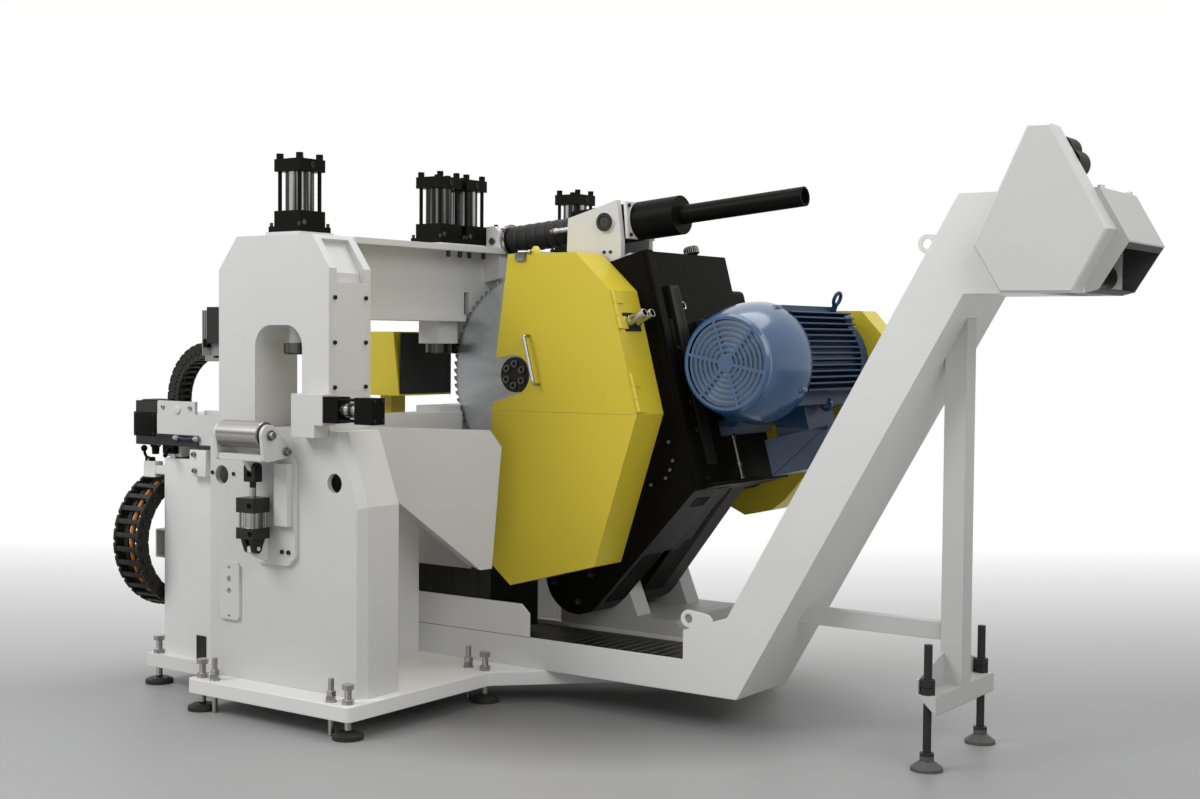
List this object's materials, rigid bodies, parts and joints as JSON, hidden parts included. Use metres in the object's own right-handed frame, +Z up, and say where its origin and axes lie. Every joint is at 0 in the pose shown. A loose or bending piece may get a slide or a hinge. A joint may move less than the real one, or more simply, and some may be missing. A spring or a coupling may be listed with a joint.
{
  "type": "rail saw",
  "caption": "Pivoting circular rail saw with hydraulic rail clamps, yellow blade guard, belt-driven motor, screw feed and an inclined chip conveyor.",
  "frame": {"origin": "floor level under the centre of the bounding box; the blade plane is Y = 0", "axes": "+X from the rail towards the motor and the conveyor head, +Y along the rail to the outfeed end, +Z up"},
  "size_m": [3.56, 2.132, 1.951],
  "materials": {
    "white_paint": "semi-gloss",
    "black_paint": "satin",
    "yellow_paint": "satin",
    "blue_paint": "gloss",
    "grey_paint": "satin",
    "bright_steel": "ground",
    "chrome": "polished",
    "blade_steel": "ground",
    "dark_steel": "blackened",
    "rubber": "matt",
    "black_plastic": "matt",
    "orange_sheath": "matt"
  },
  "bodies": {
    "frame": {"base_plate": "white_paint", "levelling_feet": "dark_steel", "anchor_studs": "bright_steel", "infeed_pedestal": "white_paint", "outfeed_pedestal": "white_paint", "infeed_portal": "white_paint", "outfeed_portal": "white_paint", "cover_plates": "white_paint", "bridge_beam": "white_paint", "clamp_heads": "black_paint", "clamp_barrels": "chrome", "clamp_tie_rods": "black_paint", "clamp_guides": "white_paint", "side_clamp_block": "white_paint", "lift_bracket": "white_paint", "rail_bed": "white_paint", "chip_chute": "white_paint", "rear_guard": "yellow_paint", "pivot_base": "grey_paint", "pivot_shaft": "bright_steel", "feed_bracket": "white_paint", "conveyor_casing": "white_paint", "conveyor_belt": "dark_steel", "chain_cover": "white_paint", "discharge_hood": "white_paint", "conveyor_gearmotor": "black_paint", "conveyor_stand": "white_paint", "side_stand": "white_paint", "slide_rails": "bright_steel", "cable_chain": "black_plastic", "chain_cables": "orange_sheath"},
    "clamp_1": {"clamp_rod_1": "bright_steel"},
    "clamp_2": {"clamp_rod_2": "bright_steel"},
    "clamp_3": {"clamp_rod_3": "bright_steel"},
    "clamp_4": {"clamp_rod_4": "bright_steel"},
    "side_ram": {"side_clamp_ram": "bright_steel"},
    "lift_yoke": {"lift_arm": "white_paint"},
    "roller": {"lift_roller": "bright_steel"},
    "lift_jack": {"lift_cylinder": "black_paint"},
    "lift_piston": {"lift_rod": "bright_steel"},
    "saw_head": {"head_housing": "black_paint", "guard_shell": "yellow_paint", "trunnion_bracket": "white_paint", "motor_frame": "blue_paint", "motor_cowl": "blue_paint", "drive_belt": "rubber", "belt_guard": "yellow_paint"},
    "door": {"guard_door": "yellow_paint", "door_handle": "chrome"},
    "saw_spindle": {"spindle": "dark_steel", "saw_blade": "blade_steel"},
    "rotor": {"motor_rotor": "bright_steel"},
    "input_shaft": {"pinion_shaft": "bright_steel"},
    "screw": {"feed_screw": "bright_steel", "feed_bellows": "rubber"},
    "nut": {"feed_nut": "black_paint"},
    "conveyor_drive": {"conveyor_shaft": "bright_steel"},
    "carriage": {"side_carriage": "white_paint", "cross_chain": "black_plastic"},
    "gripper": {"gripper_slide": "grey_paint"}
  },
  "joints": [
    {"name": "clamp_1_slide", "type": "slide", "parent": "frame", "child": "clamp_1", "axis": [0, 0, -1], "range_m": [0, 0.04]},
    {"name": "clamp_2_slide", "type": "slide", "parent": "frame", "child": "clamp_2", "axis": [0, 0, -1], "range_m": [0, 0.04]},
    {"name": "clamp_3_slide", "type": "slide", "parent": "frame", "child": "clamp_3", "axis": [0, 0, -1], "range_m": [0, 0.04]},
    {"name": "clamp_4_slide", "type": "slide", "parent": "frame", "child": "clamp_4", "axis": [0, 0, -1], "range_m": [0, 0.04]},
    {"name": "side_clamp_slide", "type": "slide", "parent": "frame", "child": "side_ram", "axis": [-1, 0, 0], "range_m": [0, 0.05]},
    {"name": "lift_arm_hinge", "type": "hinge", "parent": "frame", "child": "lift_yoke", "pos_m": [-0.923, -0.95, 0.926], "axis": [-1, 0, 0], "range_deg": [0, 28]},
    {"name": "roller_spin", "type": "hinge", "parent": "lift_yoke", "child": "roller", "pos_m": [-0.923, -1.02, 0.984], "axis": [1, 0, 0], "continuous": true},
    {"name": "lift_jack_hinge", "type": "hinge", "parent": "frame", "child": "lift_jack", "pos_m": [-0.923, -0.985, 0.592], "axis": [-1, 0, 0], "range_deg": [-6, 1]},
    {"name": "lift_rod_slide", "type": "slide", "parent": "lift_jack", "child": "lift_piston", "axis": [0, 0, 1], "range_m": [-0.001, 0.026]},
    {"name": "head_swing", "type": "hinge", "parent": "frame", "child": "saw_head", "pos_m": [-0.301, 0.3, 0.432], "axis": [0, -1, 0], "range_deg": [-3, 9.5], "deforming": ["feed_bellows"]},
    {"name": "door_hinge", "type": "hinge", "parent": "saw_head", "child": "door", "pos_m": [0.02844, -0.128, 1.26761], "axis": [-0.2622, 0, 0.965], "range_deg": [0, 100]},
    {"name": "spindle_spin", "type": "hinge", "parent": "saw_head", "child": "saw_spindle", "pos_m": [-0.468, 0, 1.18205], "axis": [0, -1, 0], "continuous": true},
    {"name": "input_spin", "type": "hinge", "parent": "saw_head", "child": "input_shaft", "pos_m": [-0.0204, 0.7, 0.82948], "axis": [0, -1, 0], "continuous": true},
    {"name": "motor_spin", "type": "hinge", "parent": "saw_head", "child": "rotor", "pos_m": [0.34301, 0.5, 1.23494], "axis": [0, -1, 0], "continuous": true},
    {"name": "screw_hinge", "type": "hinge", "parent": "frame", "child": "screw", "pos_m": [-0.76, 0.16, 1.69], "axis": [0, -1, 0], "range_deg": [-2, 4.5]},
    {"name": "nut_hinge", "type": "hinge", "parent": "saw_head", "child": "nut", "pos_m": [-0.191, 0.16, 1.742], "axis": [0, -1, 0], "range_deg": [-7, 2.5]},
    {"name": "conveyor_drive_spin", "type": "hinge", "parent": "frame", "child": "conveyor_drive", "pos_m": [1.601, 0.019, 1.518], "axis": [0, -1, 0], "continuous": true},
    {"name": "carriage_slide", "type": "slide", "parent": "frame", "child": "carriage", "axis": [0, 1, 0], "range_m": [0, 0.15], "deforming": ["cable_chain", "chain_cables"]},
    {"name": "gripper_cross_slide", "type": "slide", "parent": "carriage", "child": "gripper", "axis": [-1, 0, 0], "range_m": [0, 0.06], "deforming": ["cross_chain"]}
  ],
  "couplings": [
    {"joint": "lift_jack_hinge", "follows": "lift_arm_hinge", "ratio": -0.168},
    {"joint": "lift_rod_slide", "follows": "lift_arm_hinge", "m_per_rad": 0.04756},
    {"joint": "input_spin", "follows": "spindle_spin", "ratio": 3},
    {"joint": "motor_spin", "follows": "spindle_spin", "ratio": 5.2105},
    {"joint": "screw_hinge", "follows": "head_swing", "ratio": 0.365},
    {"joint": "nut_hinge", "follows": "head_swing", "ratio": -0.635}
  ]
}
